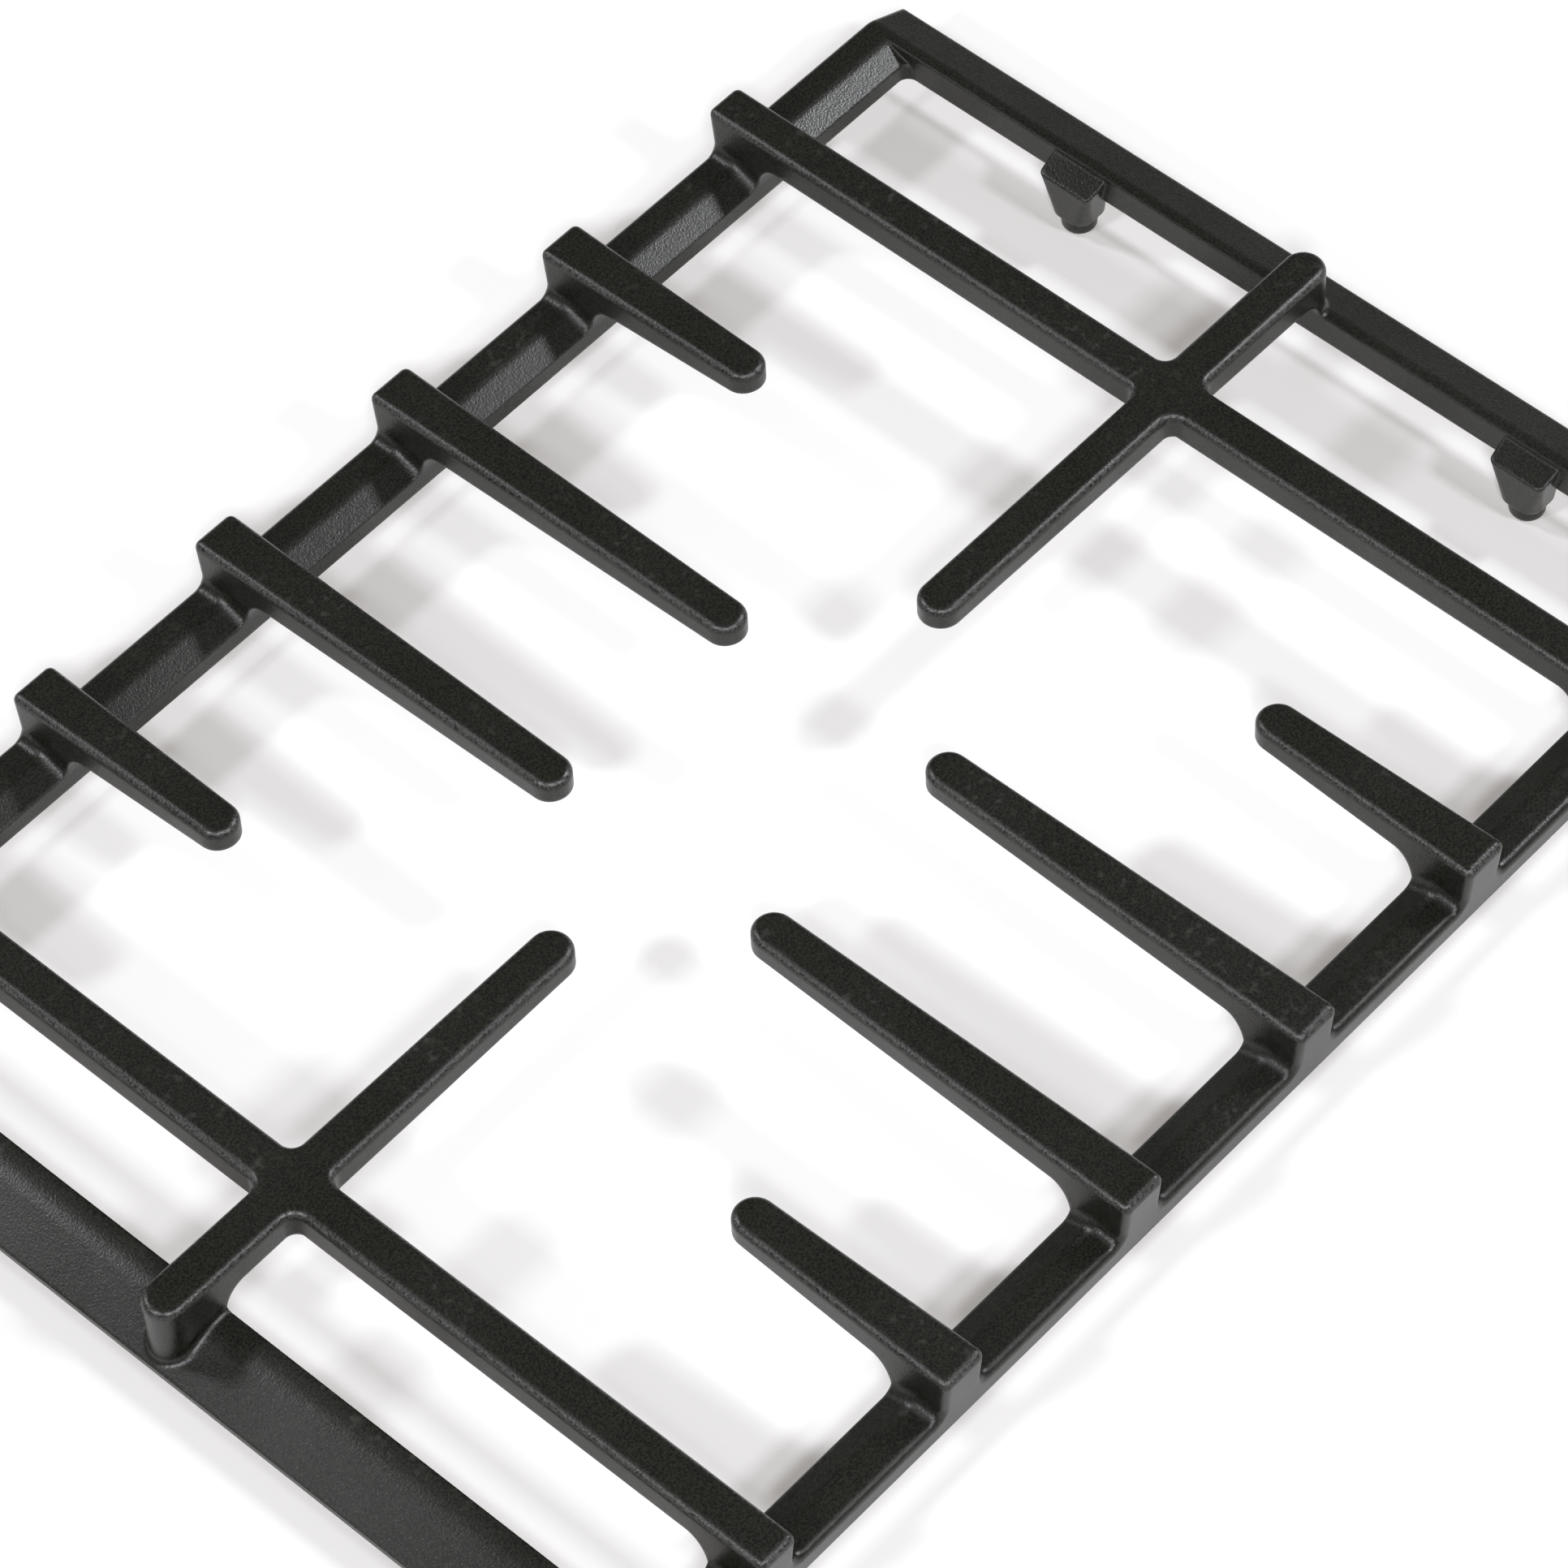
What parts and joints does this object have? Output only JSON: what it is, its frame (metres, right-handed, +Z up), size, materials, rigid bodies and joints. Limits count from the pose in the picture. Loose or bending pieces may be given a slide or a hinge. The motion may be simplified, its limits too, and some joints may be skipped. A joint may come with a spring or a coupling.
{
  "type": "gas cooktop burner grate",
  "caption": "Cast-iron pan support for a gas burner: a low frame with raised cross bars, tapering fingers and end spines around an open centre, on small cast feet.",
  "frame": {"origin": "middle of the floor rectangle that the grate covers, at the bottom of its feet", "axes": "+X along the spines towards the narrow end rail, +Y along the cross bars, +Z up towards the pan"},
  "size_m": [0.3838, 0.2704, 0.034],
  "materials": {
    "enamelled_iron": "satin black enamel"
  },
  "bodies": {
    "root": {"burner_grate": "enamelled_iron"}
  },
  "joints": []
}
